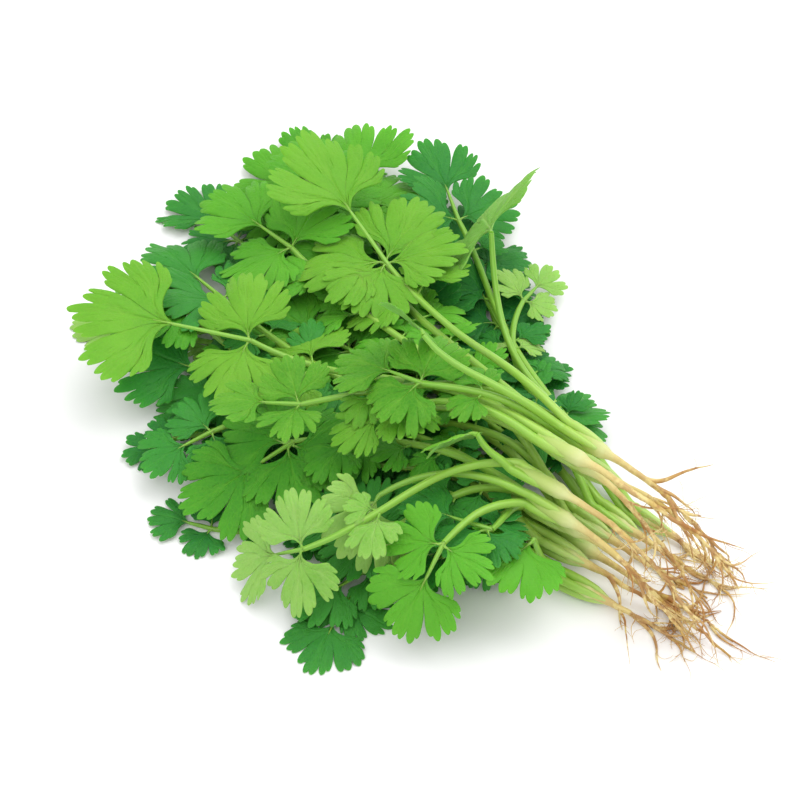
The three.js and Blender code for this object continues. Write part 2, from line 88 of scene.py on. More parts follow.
def add_camera():
    """The view from the roots' left, looking down on the bunch."""
    across, along = (cad_low[k] + AIM_SHARES[k] * (cad_high[k] - cad_low[k]) for k in range(2))
    aim = Vector((across, along, 0))
    back = Vector((
        math.sin(AZIMUTH) * math.cos(ELEVATION),
        -math.cos(AZIMUTH) * math.cos(ELEVATION),
        math.sin(ELEVATION),
    ))
    data = bpy.data.cameras.new("camera")
    data.lens = LENS
    data.sensor_width = 36.0
    camera = bpy.data.objects.new("camera", data)
    camera.location = aim + back * (FIELD * LENS / data.sensor_width)
    camera.rotation_euler = back.to_track_quat("Z", "Y").to_euler()
    data.clip_end = 20.0
    scene.collection.objects.link(camera)
    scene.camera = camera


add_camera()


# ---- Reading the CAD solids ----
def solid_of(node):
    """The node's mesh with its doubled corners joined."""
    solid = bmesh.new()
    solid.from_mesh(frame["nodes"][node].data)
    bmesh.ops.remove_doubles(solid, verts=solid.verts, dist=1e-5)
    solid.normal_update()
    return solid


def place(points):
    return np.array([tuple(p) for p in points])


def rings_from(solid, first, sides):
    """Rings of corners along a tube, from the flat end that holds the corner called first."""
    near = [v for v in solid.verts if (v.co - first.co).length < 4 * MM]
    for face in first.link_faces:
        ring = [v for v in near if abs(face.normal.dot(v.co - first.co)) < 0.02 * MM]
        if len(ring) == sides:
            break
    assert len(ring) == sides, (len(ring), sides)
    rings, seen = [], set()
    while len(ring) == sides:
        rings.append(place(v.co for v in ring))
        seen.update(ring)
        ring = list({e.other_vert(v) for v in ring for e in v.link_edges} - seen)
    return rings


def farthest(starts):
    """The corner that takes the most edges to reach from all of the starts."""
    seen, edge = set(starts), set(starts)
    while edge:
        last = edge
        edge = {e.other_vert(v) for v in edge for e in v.link_edges} - seen
        seen |= edge
    return min(last, key=lambda v: tuple(v.co))


def ring_round(centre):
    """The corners round a fan's centre, in order, from one end of its knot edge to the other."""
    follows = {}
    inner = None
    for face in centre.link_faces:
        corners = list(face.verts)
        at = corners.index(centre)
        a, b = corners[(at + 1) % 3], corners[(at + 2) % 3]
        follows[a] = b
        edge = next(e for e in face.edges if centre not in e.verts)
        across = next(f for f in edge.link_faces if f is not face)
        level = across.normal.dot(face.normal)
        if inner is None or level > inner[0]:
            inner = (level, b)
    ring = [inner[1]]
    while len(ring) < len(follows):
        ring.append(follows[ring[-1]])
    return place(v.co for v in ring)


def unit(v):
    return v / np.linalg.norm(v)


def read_leaf(node):
    """The stalk's centres and radii, and each leaflet's centre, rim and upper side."""
    solid = solid_of(node)
    centres = [v for v in solid.verts if len(v.link_edges) >= 11]
    leaflets = []
    for top in sorted(centres, key=lambda v: tuple(v.co)):
        under = min((v for v in centres if v is not top), key=lambda v: (v.co - top.co).length)
        if under.co.z > top.co.z:
            continue
        up = np.array(top.co - under.co)
        leaflets.append({
            "centre": np.array(top.co) - up / 2,
            "ring": ring_round(top) - up / 2,
            "up": unit(up),
        })
    end = max(leaflets, key=lambda f: len(f["ring"]))
    end["size"] = np.linalg.norm(end["ring"] - end["ring"][0], axis=1).max()
    rings = rings_from(solid, farthest(centres), 6)
    solid.free()
    spine = np.array([ring.mean(axis=0) for ring in rings])
    radii = np.array([np.linalg.norm(ring - c, axis=1).mean() for ring, c in zip(rings, spine)])
    return spine, radii, leaflets, end


def read_root(node):
    """The centres and radii of the crown and taproot, from the crown's front to the tip."""
    solid = solid_of(node)
    tip = max(solid.verts, key=lambda v: v.co.x)
    rings = rings_from(solid, tip, 8)
    solid.free()
    spine = np.array([ring.mean(axis=0) for ring in rings])[::-1]
    radii = np.array([np.linalg.norm(ring - c, axis=1).mean() for ring, c in zip(rings[::-1], spine)])
    return spine, radii


# ---- Building fine meshes ----
class Piece:
    """A mesh that grows by closed shells, with four numbers of surface data at each corner."""

    def __init__(self, name):
        self.name = name
        self.points, self.data = [], []
        self.quads, self.slots = [], []
        self.count = 0

    def add(self, points, quads, data, slot=0):
        self.points.append(points)
        self.data.append(data)
        self.quads.append(quads + self.count)
        self.slots.append(np.full(len(quads), slot))
        self.count += len(points)

    def build(self, materials):
        points = np.concatenate(self.points)
        # What would sink into the floor rests on it.
        points[:, 2] = np.maximum(points[:, 2], 0)
        quads = np.concatenate(self.quads)
        mesh = bpy.data.meshes.new(self.name)
        mesh.vertices.add(len(points))
        mesh.vertices.foreach_set("co", points.ravel())
        mesh.loops.add(quads.size)
        mesh.loops.foreach_set("vertex_index", quads.ravel())
        mesh.polygons.add(len(quads))
        mesh.polygons.foreach_set("loop_start", np.arange(0, quads.size, 4))
        mesh.polygons.foreach_set("material_index", np.concatenate(self.slots))
        mesh.polygons.foreach_set("use_smooth", np.ones(len(quads), dtype=bool))
        mesh.update(calc_edges=True)
        layer = mesh.attributes.new("surface", "FLOAT_COLOR", "POINT")
        layer.data.foreach_set("color", np.concatenate(self.data).ravel())
        mesh.set_sharp_from_angle(angle=SHARP_ANGLE)
        for material in materials:
            mesh.materials.append(material)
        piece = bpy.data.objects.new(self.name, mesh)
        scene.collection.objects.link(piece)
        return piece


def along_spline(points, radii, step):
    """Points and radii evenly spaced along a smooth curve through the given ones."""
    padded = np.vstack([2 * points[0] - points[1], points, 2 * points[-1] - points[-2]])
    samples, sizes = [], []
    for i in range(len(points) - 1):
        p0, p1, p2, p3 = padded[i:i + 4]
        count = max(2, int(np.linalg.norm(p2 - p1) / step))
        for t in np.arange(count) / count:
            samples.append(0.5 * (
                2 * p1 + (p2 - p0) * t
                + (2 * p0 - 5 * p1 + 4 * p2 - p3) * t ** 2
                + (3 * p1 - p0 - 3 * p2 + p3) * t ** 3
            ))
            sizes.append(radii[i] + (radii[i + 1] - radii[i]) * t)
    samples.append(points[-1])
    sizes.append(radii[-1])
    return np.array(samples), np.array(sizes)


def tube(path, radii, sides, shape=None):
    """A closed tube along a path: points, quads and how far along each point is.

    shape gives a share of the radius for each ring and side."""
    tangents = np.gradient(path, axis=0)
    tangents /= np.linalg.norm(tangents, axis=1)[:, None]
    side = np.cross((0, 0, 1), tangents[0])
    side = unit(side) if np.linalg.norm(side) > 0.1 else np.array((1.0, 0, 0))
    angles = np.arange(sides) * 2 * math.pi / sides
    rings = []
    for i, (p, t) in enumerate(zip(path, tangents)):
        side = unit(side - t * side.dot(t))
        other = np.cross(t, side)
        size = radii[i] * (shape[i] if shape is not None else np.ones(sides))
        rings.append(p + size[:, None] * (np.cos(angles)[:, None] * side + np.sin(angles)[:, None] * other))
    # The ends close with a shrunken ring, so that every face is a quad.
    rings.insert(0, path[0] + (rings[0] - path[0]) * 0.02)
    rings.append(path[-1] + (rings[-1] - path[-1]) * 0.02)
    points = np.array(rings)
    along = np.concatenate([[0], np.linspace(0, 1, len(path)), [1]])
    n = len(rings)
    k = np.arange(sides)
    quads = []
    for i in range(n - 1):
        a, b = i * sides, (i + 1) * sides
        quads.append(np.stack([a + k, a + (k + 1) % sides, b + (k + 1) % sides, b + k], axis=1))
    quads = np.concatenate(quads)
    for end, flip in ((0, True), ((n - 1) * sides, False)):
        for j in range(0, sides - 2, 2):
            face = [end, end + j + 1, end + j + 2, end + (j + 3) % sides]
            quads = np.vstack([quads, face[::-1] if flip else face])
    return points.reshape(-1, 3), quads, np.repeat(along, sides)


# ---- Leaflets ----
def scallop(share, depth, power):
    """1 in the middle of a lobe and 1 - depth at its ends, where share is -1 and 1."""
    return 1 - depth * (1 - np.clip(1 - abs(share) ** power, 0, 1) ** (1 / power))


def split(start, end, parts, chance, jitter):
    """The ends of so many parts between two angles, a little uneven."""
    width = (end - start) / parts
    inner = [start + width * (i + chance.uniform(-jitter, jitter)) for i in range(1, parts)]
    return [start, *inner, end]


def ramp(value, start, end):
    """0 before start, 1 after end and smooth between them."""
    t = np.clip((value - start) / (end - start), 0, 1)
    return t * t * (3 - 2 * t)


# Half the spread of a leaflet's lobes and the edges of its middle lobe, in degrees, by its place.
SPREADS = {"terminal": (78, 25), "lateral": (78, 25), "simple": (98, 32)}
# The outline without its lobes: share of the half spread, share of the leaflet's length.
SILHOUETTE = [(0, 1.0), (0.3, 0.97), (0.55, 0.9), (0.8, 0.74), (1.0, 0.46)]

# Where a tooth has columns, from its start: close together beside the notch, then even.
TOOTH_COLUMNS = (0, 0.07, 0.2, 0.35, 0.5, 0.65, 0.8, 0.93)


def lobed_outline(place, reach, chance):
    """The columns of a leaflet from one side to the other, and its veins.

    A column is an angle, a share of the length and its place across its main lobe.
    A vein starts on a main vein, at a share of the length, and ends in a tooth."""
    tooth_width = 1.9 * MM + 0.07 * reach
    half, middle = (math.radians(v) for v in SPREADS[place])
    half *= chance.uniform(0.88, 1.1)
    deep = chance.uniform(0.22, 0.32) if place == "simple" else chance.uniform(0.36, 0.56)
    edges = [-half, -middle * chance.uniform(0.85, 1.2), middle * chance.uniform(0.85, 1.2), half]
    columns, veins = [], []
    for start, end in zip(edges, edges[1:]):
        lobe = (start + end) / 2
        veins.append((lobe, lobe, 0.0))
        lobe_length = chance.uniform(0.92, 1.04)
        parts = split(start, end, 3 if (end - start) * reach > 13 * MM else 2, chance, 0.1)
        part_depth = chance.uniform(0.1, 0.24)
        for a, b in zip(parts, parts[1:]):
            part_length = chance.uniform(0.93, 1.03)
            teeth = split(a, b, max(1, round((b - a) * reach / tooth_width)), chance, 0.12)
            for c, d in zip(teeth, teeth[1:]):
                tooth_length = chance.uniform(0.96, 1.03)
                veins.append((lobe, (c + d) / 2, chance.uniform(0.22, 0.42)))
                for t in TOOTH_COLUMNS:
                    angle = c + (d - c) * t
                    across = [2 * (angle - lo) / (hi - lo) - 1 for lo, hi in ((start, end), (a, b), (c, d))]
                    size = (
                        lobe_length * part_length * tooth_length
                        * scallop(across[0], deep, 3.2)
                        * scallop(across[1], part_depth, 2.0)
                        * scallop(across[2], 0.085, 1.5)
                    )
                    columns.append((angle, size, across[0]))
    columns.append((half, columns[0][1], 1.0))
    angle, size, across = np.array(columns).T
    size *= np.interp(abs(angle) / half, *np.array(SILHOUETTE).T)
    return angle, size, across, veins


def vein_strength(angle, out, wide, veins):
    """How much of a vein passes through each point, for points at an angle and a share of the length."""
    strength = np.zeros(out.shape)
    for lobe, tooth, start in veins:
        line = lobe * ramp(out, 0.0, 0.3) + (tooth - lobe) * ramp(out, start, 1.05)
        width = 0.011 if start else 0.018
        far = (angle - line) * wide / (width * (1.1 - 0.6 * out))
        grown = ramp(out, start - 0.05, start + 0.05) * (1 - 0.5 * out)
        strength = np.maximum(strength, np.exp(-far ** 2) * grown)
    return strength


def bend_terms(u, v):
    return np.stack([u, v, u * u, u * v, v * v, u * u * v], axis=-1)


def lie_of(leaflet):
    """Where the CAD leaflet lies: its apex, its axes, its reach and the weights of its bend."""
    apex, rim, centre = leaflet["apex"], leaflet["rim"], leaflet["centre"]
    normal = unit(np.linalg.svd(rim - apex)[2][-1])
    normal *= np.sign(normal.dot(leaflet["up"]))
    forward = unit(centre - apex)
    forward = unit(forward - normal * forward.dot(normal))
    left = np.cross(normal, forward)
    known = np.vstack([rim, centre]) - apex
    u, v, h = known @ forward, known @ left, known @ normal
    reach = 0.96 * np.hypot(u[:-1], v[:-1]).max()
    terms = bend_terms(u / reach, v / reach)
    weights = np.linalg.solve(terms.T @ terms + 0.02 * np.eye(6), terms.T @ (h / reach))
    return apex, forward, normal, reach, weights


def add_leaflet(piece, lie, place, tint, chance):
    """A thin lobed leaflet on a smooth surface."""
    apex, forward, normal, reach, weights = lie
    left = np.cross(normal, forward)
    theta, size, across, veins = lobed_outline(place, reach, chance)
    s = (np.linspace(0, 1, LEAFLET_ROWS) ** 0.9)[:, None] * np.ones(len(theta))
    # The blade leaves its stalk narrow and then spreads.
    angle = theta * (0.34 + 0.66 * ramp(s * size, 0.0, 0.5))
    fu = s * size * np.cos(angle)
    fv = s * size * np.sin(angle)
    vein = vein_strength(theta, s, s * size, veins)
    phase = [chance.uniform(0, 2 * math.pi) for _ in range(4)]
    lift = [chance.uniform(-0.1, 0.07) for _ in range(3)]
    lobe = np.clip(np.searchsorted(np.flatnonzero(np.diff(across) < -1), np.arange(len(theta)) - 0.5), 0, 2)
    rise = s * size
    waves = (
        0.045 * np.sin(2.2 * theta + phase[0]) * rise ** 2
        + 0.024 * np.sin(6.0 * theta + phase[1] + 3 * s) * rise ** 2
        + 0.016 * np.sin(8 * rise + phase[2]) * rise
        - 0.075 * (across ** 2) * rise ** 2
        + np.array(lift)[lobe] * ramp(rise, 0.35, 1.1)
        - 0.09 * ramp(rise, 0.6, 1.1) * (0.6 + 0.7 * np.sin(3 * theta + phase[3]))
    )
    pucker = 0.012 * (1 - vein) * np.clip(s * (1.1 - s) * 4, 0, 1)
    pucker = pucker + 0.007 * np.sin(17 * fu + phase[2]) * np.sin(15 * fv + phase[0]) * ramp(rise, 0.2, 0.6)
    height = bend_terms(fu, fv) @ weights + waves + pucker
    middle = apex + reach * (fu[..., None] * forward + fv[..., None] * left + height[..., None] * normal)
    middle[..., 2] = np.maximum(middle[..., 2], 0.35 * MM)
    thick = LAMINA_RIM + (LAMINA - LAMINA_RIM) * np.clip((1 - s) * 8, 0, 1)
    rib = 0.12 * MM * vein + 0.25 * MM * np.exp(-(s * 5) ** 2)
    top = middle + normal * (thick / 2)[..., None]
    under = middle - normal * (thick / 2 + rib)[..., None]

    rows, width = s.shape
    index = np.arange(rows * width).reshape(rows, width)
    face = np.stack([index[:-1, :-1], index[1:, :-1], index[1:, 1:], index[:-1, 1:]], axis=-1).reshape(-1, 4)
    below = rows * width
    # Walls join the two sides round the whole margin.
    edge = np.concatenate([index[:-1, 0], index[-1, :-1], index[:0:-1, -1], index[0, :0:-1]])
    around = np.roll(edge, -1)
    walls = np.stack([edge, edge + below, around + below, around], axis=-1)
    quads = np.concatenate([face, face[:, ::-1] + below, walls])
    points = np.concatenate([top.reshape(-1, 3), under.reshape(-1, 3)])
    data = np.empty((2 * below, 4))
    data[:, 0] = np.tile(vein.ravel(), 2)
    data[:, 1] = np.tile(rise.ravel(), 2)
    data[:below, 2], data[below:, 2] = 1, 0
    data[:, 3] = tint
    piece.add(points, quads, data)


def add_stalk(piece, path, radii, sides, tint, ribs=0.07, start=0.0, end=1.0):
    """A ribbed stalk. Its surface data says how far along the leaf's stalk each point is."""
    angles = np.arange(sides) * 2 * math.pi / sides
    shape = 1 + ribs * np.cos(5 * angles) + np.zeros((len(path), 1))
    points, quads, along = tube(path, radii, sides, shape)
    data = np.empty((len(points), 4))
    data[:, 0] = start + (end - start) * along
    # Where the rib crests are, which the stalk material lightens as a painted highlight.
    data[:, 1] = np.tile(np.cos(5 * angles) * 0.5 + 0.5, len(points) // sides)
    data[:, 2] = 1
    data[:, 3] = tint
    piece.add(points, quads, data, slot=1)


def relax(points, times):
    """The same path with its small bends eased, between the same ends."""
    points = points.copy()
    for _ in range(times):
        points[1:-1] = (points[:-2] + 2 * points[1:-1] + points[2:]) / 4
    return points


# Stalks on their crown: depth below its front in mm, share of the distance from its axis, radius in mm.
SHEATH = np.array([(17, 0.45, 0.4), (13, 0.85, 0.95), (8, 1.0, 1.35), (3, 1.0, 1.5)])


def sheath(foot):
    """The path on which a stalk runs down its crown, up to the stalk's foot."""
    spine = min(ROOTS.values(), key=lambda root: np.linalg.norm(root[0][0] - foot))[0]
    away = foot - spine[0]
    deep = np.linalg.norm(spine - spine[0], axis=1)
    depths = SHEATH[:, 0] * MM
    down = np.stack([np.interp(depths, deep, spine[:, axis]) for axis in range(3)], axis=1)
    return np.array([point + away * share for point, share in zip(down, SHEATH[:, 1])])


def add_side_leaflets(piece, path, share, reach, tint, chance):
    """A pair of small leaflets on the stalk, at a share of its length."""
    at = int(share * (len(path) - 1))
    along = unit(path[at + 1] - path[at - 1])
    side = unit(np.cross((0, 0, 1), along))
    up = np.cross(along, side)
    for hand in (1, -1):
        turn = hand * math.radians(chance.uniform(45, 75))
        forward = along * math.cos(turn) + side * math.sin(turn)
        forward = unit(forward + up * chance.uniform(-0.25, 0.3))
        roll = unit(up + side * hand * chance.uniform(-0.5, 0.3))
        normal = unit(roll - forward * roll.dot(forward))
        size = reach * chance.uniform(0.8, 1.15)
        start = path[at]
        stem = np.array([start, start + forward * 0.1 * size, start + forward * 0.22 * size])
        run, sizes = along_spline(stem, np.array([0.45, 0.38, 0.3]) * MM, 0.8 * MM)
        add_stalk(piece, run, sizes, 8, tint, 0.04, 1.0, 1.0)
        weights = np.array([0, 0, -0.12, 0, -0.1, 0]) * chance.uniform(0.3, 1.4)
        add_leaflet(piece, (run[-1], forward, normal, size, weights), "lateral", tint, chance)

# A CAD leaflet's place on its leaf, by the number of corners round its centre. All others are side leaflets.
PLACES = {17: "terminal", 15: "simple"}
STALK_ENDS = {
    "terminal": np.array([0.8, 0.7, 0.5, 0.12]) * MM,
    "simple": np.array([0.8, 0.7, 0.5, 0.12]) * MM,
    "lateral": np.array([0.5, 0.5, 0.42, 0.1]) * MM,
}
# Small leaflets on the lower leaves' stalks thicken the pile: shares of the stalk, and how high they may lie.
FILLING_SHARES = (0.36, 0.5, 0.62, 0.75)
FILLING_HEIGHT = 26 * MM


def make_leaf(node, slot):
    chance = random.Random(node)
    spine, radii, leaflets, end = read_leaf(node)
    piece = Piece(node + "_fine")
    tint = chance.random()
    path = np.vstack([sheath(spine[0]), relax(spine, 3)])
    path, sizes = along_spline(path, np.concatenate([SHEATH[:, 2] * MM, radii]), STALK_STEP)
    add_stalk(piece, path, sizes, STALK_SIDES, tint)
    length = np.linalg.norm(spine[-1] - spine[0])
    if len(leaflets) > 1 and length > 45 * MM:
        reach = 0.3 * end["size"] + 3 * MM
        add_side_leaflets(piece, path, 1 - chance.uniform(13, 19) * MM / length, reach, tint, chance)
        if slot in ("leaf_deep", "leaf_mid"):
            for share in FILLING_SHARES:
                if path[int(share * len(path))][2] < FILLING_HEIGHT:
                    add_side_leaflets(piece, path, share, (0.45 + 0.9 * share) * reach, tint, chance)
    for leaflet in leaflets:
        ring = leaflet["ring"]
        base = (ring[0] + ring[-1]) / 2
        place = PLACES.get(len(ring), "lateral")
        leaflet["apex"], leaflet["rim"] = base, ring[1:-1]
        if place == "terminal":
            leaflet["apex"], leaflet["rim"] = (ring[1] + ring[-2]) / 2, ring[2:-2]
        run = np.array([spine[-1], (spine[-1] + leaflet["apex"]) / 2, leaflet["apex"], leaflet["centre"]])
        run, sizes = along_spline(run, STALK_ENDS[place], STALK_STEP)
        add_stalk(piece, run, sizes, 10, tint, 0.04, 1.0, 1.0)
        add_leaflet(piece, lie_of(leaflet), place, tint, chance)
    made = piece.build([MATERIALS[slot], MATERIALS["stalk"]])
    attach(made, "root")
    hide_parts(node)


# ---- Roots ----
def add_strand(piece, path, radii, sides, tint, kind, shape=None):
    """A root strand. kind is 0 on a crown with its taproot and more than a half on rootlets and hairs."""
    points, quads, along = tube(path, radii, sides, shape)
    data = np.empty((len(points), 4))
    data[:, 0] = along
    data[:, 1] = 0.5
    data[:, 2] = kind
    data[:, 3] = tint
    piece.add(points, quads, data)


def wander(start, heading, length, steps, chance, bend, sink):
    """A path that strays from its heading and stays above the floor."""
    at, heading = np.array(start), unit(np.array(heading))
    path = [at]
    turn = np.array([chance.gauss(0, 1) for _ in range(3)])
    for _ in range(steps):
        turn = 0.75 * turn + 0.5 * np.array([chance.gauss(0, 1) for _ in range(3)])
        heading = unit(heading + bend * turn / steps ** 0.5 + np.array((0, 0, -sink)))
        at = at + heading * length / steps
        at[2] = max(at[2], 0.35 * MM)
        path.append(at)
    return np.array(path)


def make_root(node):
    chance = random.Random(node)
    spine, radii = ROOTS[node]
    piece = Piece(node + "_fine")
    path, sizes = along_spline(spine, radii, ROOT_STEP)
    length = np.linspace(0, 1, len(path))
    stray = np.cumsum([[chance.gauss(0, 1) for _ in range(3)] for _ in path], axis=0)
    stray -= np.outer(length, stray[-1])
    strength = np.clip((length - 0.3) * 2.2, 0, 1) * np.clip((1 - length) * 8, 0, 1)
    path = path + stray * (0.23 * MM) * strength[:, None]
    angles = np.arange(ROOT_SIDES) * 2 * math.pi / ROOT_SIDES
    phase = [chance.uniform(0, 6.28) for _ in range(5)]
    wrinkle = np.array([chance.gauss(0, 1) for _ in path])
    shape = (
        1
        + 0.05 * np.cos(3 * angles + phase[0])
        + 0.03 * np.cos(7 * angles + phase[1] + 6 * length[:, None])
        + (0.08 * wrinkle + 0.11 * np.sin(38 * length + phase[2]))[:, None] * strength[:, None]
        + 0.05 * strength[:, None] * np.cos(2 * angles + 14 * length[:, None] + phase[3])
    )
    tint = chance.random()
    deep = length * (len(path) - 1) * ROOT_STEP
    # A rounded front, the widest place under the stalks, and then a narrow neck.
    slim = (
        0.3
        + 0.42 * ramp(deep, 0, 6 * MM)
        + 0.14 * ramp(deep, 6 * MM, 13 * MM)
        - 0.2 * ramp(deep, 14 * MM, 19 * MM)
    )
    add_strand(piece, path, sizes * slim, ROOT_SIDES, tint, 0, shape)

    for _ in range(ROOTLETS):
        t = chance.uniform(0.38, 0.96)
        at = int(t * (len(path) - 1))
        forward = unit(path[min(at + 2, len(path) - 1)] - path[max(at - 2, 0)])
        out = unit(np.cross(forward, [chance.gauss(0, 1) for _ in range(3)]))
        heading = forward + out * chance.uniform(0.1, 0.5)
        long = chance.uniform(8, 24) * MM
        run = wander(path[at], heading, long, 14, chance, 0.55, 0.04)
        thick = min(sizes[at] * 0.75, chance.uniform(0.3, 0.95) * MM)
        taper = np.linspace(1, 0.16, len(run)) ** 1.2
        add_strand(piece, run, thick * taper, 7, chance.random(), 0.5 + 0.5 * t)
        for _ in range(HAIRS):
            k = chance.randint(4, len(run) - 3)
            heading = unit(run[k + 1] - run[k]) + np.array([chance.gauss(0, 0.5) for _ in range(3)])
            hair = wander(run[k], heading, chance.uniform(4, 11) * MM, 8, chance, 0.7, 0.03)
            add_strand(piece, hair, 0.10 * MM * np.linspace(1, 0.4, len(hair)), 5, chance.random(), 1.0)
    made = piece.build([MATERIALS["root"]])
    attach(made, "root")
    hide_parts(node)


# ---- Materials ----
class Nodes:
    """Short calls for building a material's nodes."""

    def __init__(self, name):
        self.material = bpy.data.materials.new(name)
        self.material.use_nodes = True
        self.tree = self.material.node_tree
        self.shader = self.tree.nodes["Principled BSDF"]

    def new(self, kind, **settings):
        node = self.tree.nodes.new(kind)
        for key, value in settings.items():
            setattr(node, key, value)
        return node

    def link(self, source, target):
        self.tree.links.new(source, target)

    def value(self, target, source):
        if isinstance(source, bpy.types.NodeSocket):
            self.link(source, target)
        else:
            target.default_value = source

    def maths(self, kind, a, b=0.0, clamp=False):
        node = self.new("ShaderNodeMath", operation=kind, use_clamp=clamp)
        self.value(node.inputs[0], a)
        self.value(node.inputs[1], b)
        return node.outputs[0]

    def mix(self, share, a, b, blend="MIX"):
        node = self.new("ShaderNodeMix", data_type="RGBA", blend_type=blend)
        self.value(node.inputs["Factor"], share)
        self.value(node.inputs[6], a)
        self.value(node.inputs[7], b)
        return node.outputs[2]

    def ramp(self, share, stops):
        node = self.new("ShaderNodeValToRGB")
        elements = node.color_ramp.elements
        while len(elements) < len(stops):
            elements.new(0.5)
        for element, (at, color) in zip(elements, stops):
            element.position = at
            element.color = color if len(color) == 4 else (*color, 1)
        self.link(share, node.inputs[0])
        return node.outputs[0]

    def surface(self):
        """The four numbers of surface data."""
        data = self.new("ShaderNodeAttribute", attribute_name="surface")
        parts = self.new("ShaderNodeSeparateColor")
        self.link(data.outputs["Color"], parts.inputs[0])
        return (*parts.outputs, data.outputs["Alpha"])

    def noise(self, scale, detail=4.0, rough=0.55):
        node = self.new("ShaderNodeTexNoise")
        node.inputs["Scale"].default_value = scale
        node.inputs["Detail"].default_value = detail
        node.inputs["Roughness"].default_value = rough
        self.link(self.coordinates(), node.inputs["Vector"])
        return node.outputs["Fac"]

    def coordinates(self):
        return self.new("ShaderNodeTexCoord").outputs["Object"]

    def bump(self, height, distance, strength=1.0):
        node = self.new("ShaderNodeBump")
        node.inputs["Distance"].default_value = distance
        node.inputs["Strength"].default_value = strength
        self.link(height, node.inputs["Height"])
        self.link(node.outputs[0], self.shader.inputs["Normal"])


def grey(value):
    return (value, value, value, 1)


def leaf_material(name, main, light, dark):
    """A leaf: paler veins and underside, mottled green, a painted sheen towards the margin, finely netted and
    softly shining.
    """
    n = Nodes(name)
    vein, out, side, tint = n.surface()
    mottle = n.ramp(n.noise(95.0, 5.0), [(0.36, grey(0)), (0.66, grey(1))])
    color = n.mix(n.maths("MULTIPLY", mottle, 0.5), main, dark)
    cloud = n.ramp(n.noise(38.0, 2.0), [(0.4, grey(0)), (0.62, grey(1))])
    color = n.mix(n.maths("MULTIPLY", cloud, 0.4), color, light)
    color = n.mix(n.maths("MULTIPLY", tint, 0.45), color, light)
    older = n.maths("MULTIPLY", n.maths("SUBTRACT", 0.45, tint), 1.4, clamp=True)
    color = n.mix(older, color, dark)
    # Painted sheen: lighter towards the margin, as if the thin edges caught the light.
    color = n.mix(n.maths("MULTIPLY", n.maths("POWER", out, 3.0), 0.28), color, light)
    color = n.mix(n.maths("MULTIPLY", vein, 0.5), color, light)
    net = n.new("ShaderNodeTexVoronoi", feature="DISTANCE_TO_EDGE")
    net.inputs["Scale"].default_value = 620.0
    n.link(n.coordinates(), net.inputs["Vector"])
    cells = n.ramp(net.outputs["Distance"], [(0.0, grey(0)), (0.22, grey(1))])
    color = n.mix(n.maths("MULTIPLY", n.maths("SUBTRACT", 1.0, cells), 0.16), color, light)
    pale = n.mix(0.5, color, (0.30, 0.52, 0.17, 1))
    color = n.mix(side, pale, color)
    n.link(color, n.shader.inputs["Base Color"])
    n.shader.inputs["Roughness"].default_value = 0.55
    n.shader.inputs["Specular IOR Level"].default_value = 0.2
    n.shader.inputs["Subsurface Weight"].default_value = 0.35
    n.shader.inputs["Subsurface Radius"].default_value = (0.5, 1.0, 0.15)
    n.shader.inputs["Subsurface Scale"].default_value = 0.0012
    height = n.maths("ADD", n.maths("MULTIPLY", cells, 0.35), n.maths("MULTIPLY", vein, -0.9))
    n.bump(n.maths("ADD", height, n.maths("MULTIPLY", n.noise(420.0, 3.0), 0.5)), 0.00016)
    return n.material


def stalk_material():
    """A juicy stalk: pale at its foot, light green along it, with fine lengthwise ribs whose crests carry a
    painted highlight.
    """
    n = Nodes("stalk")
    along, rib, _, tint = n.surface()
    color = n.ramp(along, [
        (0.0, (0.58, 0.66, 0.26)),
        (0.10, (0.42, 0.60, 0.11)),
        (0.3, (0.28, 0.52, 0.045)),
        (1.0, (0.16, 0.41, 0.024)),
    ])
    color = n.mix(n.maths("MULTIPLY", n.noise(160.0), 0.35), color, (0.12, 0.34, 0.04, 1))
    # Painted highlight: the rib crests are lightened towards a pale green, as if they caught the light.
    color = n.mix(n.maths("MULTIPLY", rib, 0.3), color, (0.42, 0.66, 0.12, 1))
    color = n.mix(n.maths("MULTIPLY", tint, 0.25), color, (0.36, 0.62, 0.10, 1))
    n.link(color, n.shader.inputs["Base Color"])
    n.shader.inputs["Roughness"].default_value = 0.38
    n.shader.inputs["Subsurface Weight"].default_value = 0.4
    n.shader.inputs["Subsurface Radius"].default_value = (0.6, 1.0, 0.2)
    n.shader.inputs["Subsurface Scale"].default_value = 0.0015
    n.bump(n.noise(600.0, 3.0), 0.00008)
    return n.material


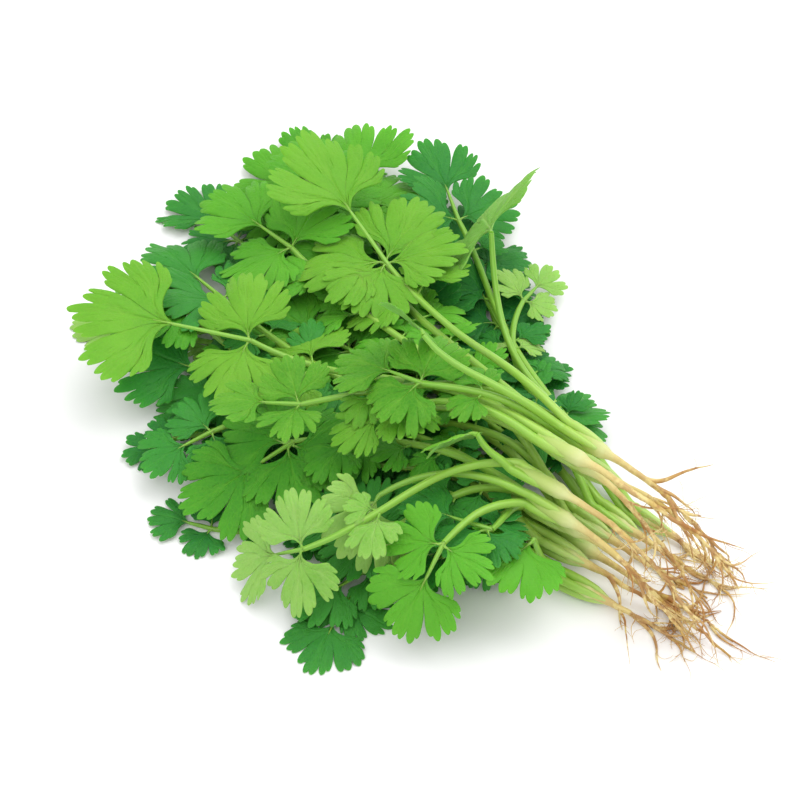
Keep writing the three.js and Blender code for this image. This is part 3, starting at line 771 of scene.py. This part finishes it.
def root_material():
    """A root: a pale green crown, then cream, ochre and brown towards the tip, dry and wrinkled."""
    n = Nodes("root")
    along, _, kind, tint = n.surface()
    body = n.ramp(along, [
        (0.0, (0.28, 0.48, 0.07)),
        (0.14, (0.40, 0.56, 0.12)),
        (0.21, (0.58, 0.64, 0.26)),
        (0.28, (0.64, 0.54, 0.19)),
        (0.5, (0.58, 0.41, 0.09)),
        (1.0, (0.44, 0.25, 0.045)),
    ])
    thin = n.ramp(along, [
        (0.0, (0.54, 0.33, 0.08)),
        (0.5, (0.50, 0.27, 0.07)),
        (1.0, (0.62, 0.43, 0.18)),
    ])
    color = n.mix(n.maths("GREATER_THAN", kind, 0.25), body, thin)
    age = n.maths("MULTIPLY", n.maths("SUBTRACT", n.maths("MAXIMUM", along, kind), 0.22), 3.0, clamp=True)
    bare = n.ramp(n.noise(90.0, 3.0), [(0.46, grey(0)), (0.54, grey(1))])
    color = n.mix(n.maths("MULTIPLY", n.maths("MULTIPLY", bare, age), 0.7), color, (0.84, 0.72, 0.33, 1))
    patches = n.ramp(n.noise(150.0, 6.0, 0.7), [(0.47, grey(0)), (0.55, grey(1))])
    rust = n.maths("MULTIPLY", n.maths("MULTIPLY", patches, age), 0.85)
    color = n.mix(rust, color, (0.33, 0.115, 0.012, 1))
    color = n.mix(n.maths("MULTIPLY", tint, 0.2), color, (0.78, 0.64, 0.34, 1))
    n.link(color, n.shader.inputs["Base Color"])
    n.shader.inputs["Roughness"].default_value = 0.55
    n.shader.inputs["Subsurface Weight"].default_value = 0.1
    n.shader.inputs["Subsurface Radius"].default_value = (1.0, 0.7, 0.35)
    n.shader.inputs["Subsurface Scale"].default_value = 0.0012
    n.bump(n.noise(520.0, 5.0, 0.65), 0.0003, 0.8)
    return n.material


# Each slot's main, lighter and darker green. leaf_bright, leaf_mid and leaf_deep are lit and shaded copies of
# one green: darker down the pile, and leaf_deep bluer, as painted shade for leaves lying under others and
# painted light on the top ones.
GREENS = {
    "leaf_bright": ((0.094, 0.325, 0.010, 1), (0.190, 0.435, 0.038, 1), (0.042, 0.225, 0.009, 1)),
    "leaf_mid": ((0.060, 0.300, 0.012, 1), (0.130, 0.420, 0.026, 1), (0.028, 0.206, 0.012, 1)),
    "leaf_deep": ((0.019, 0.200, 0.027, 1), (0.062, 0.310, 0.034, 1), (0.007, 0.122, 0.026, 1)),
    "leaf_pale": ((0.190, 0.430, 0.048, 1), (0.350, 0.570, 0.150, 1), (0.110, 0.330, 0.030, 1)),
}
MATERIALS = {name: leaf_material(name, *greens) for name, greens in GREENS.items()}
MATERIALS["stalk"] = stalk_material()
MATERIALS["root"] = root_material()


# ---- The bunch ----
ROOTS = {name: read_root(name) for name in sorted(frame["nodes"]) if name.startswith("root")}
SLOTS = {entry["node"]: entry["material_slot"] for entry in frame["record"]["subparts"]}
for name in sorted(frame["nodes"]):
    if name.startswith("leaf"):
        make_leaf(name, SLOTS[name])
    else:
        make_root(name)


# ---- Floor and light ----
def add_floor():
    mesh = bpy.data.meshes.new("floor")
    half = 3.0
    corners = [(-half, -half, 0), (half, -half, 0), (half, half, 0), (-half, half, 0)]
    mesh.from_pydata(corners, [], [(0, 1, 2, 3)])
    n = Nodes("floor")
    shade = n.ramp(n.noise(3.0, 2.0), [(0.3, grey(0.93)), (0.7, grey(0.95))])
    n.link(shade, n.shader.inputs["Base Color"])
    n.shader.inputs["Roughness"].default_value = 0.9
    n.shader.inputs["Specular IOR Level"].default_value = 0.1
    mesh.materials.append(n.material)
    floor = bpy.data.objects.new("floor", mesh)
    floor.location.z = -0.1 * MM
    scene.collection.objects.link(floor)


def add_light(name, azimuth, elevation, distance, size, power, color=(1, 1, 1)):
    a, e = math.radians(azimuth), math.radians(elevation)
    back = Vector((math.sin(a) * math.cos(e), -math.cos(a) * math.cos(e), math.sin(e)))
    data = bpy.data.lights.new(name, "AREA")
    data.size = size
    data.energy = power
    data.color = color
    light = bpy.data.objects.new(name, data)
    light.location = back * distance
    light.rotation_euler = back.to_track_quat("Z", "Y").to_euler()
    scene.collection.objects.link(light)


add_floor()
add_light("key", 175, 60, 1.3, 1.2, 9.6)
add_light("fill", 10, 55, 1.4, 1.3, 5.6)
world = bpy.data.worlds.new("studio")
world.use_nodes = True
world.node_tree.nodes["Background"].inputs["Color"].default_value = (1, 1, 1, 1)
world.node_tree.nodes["Background"].inputs["Strength"].default_value = 0.88
scene.world = world
scene.view_settings.view_transform = "Standard"
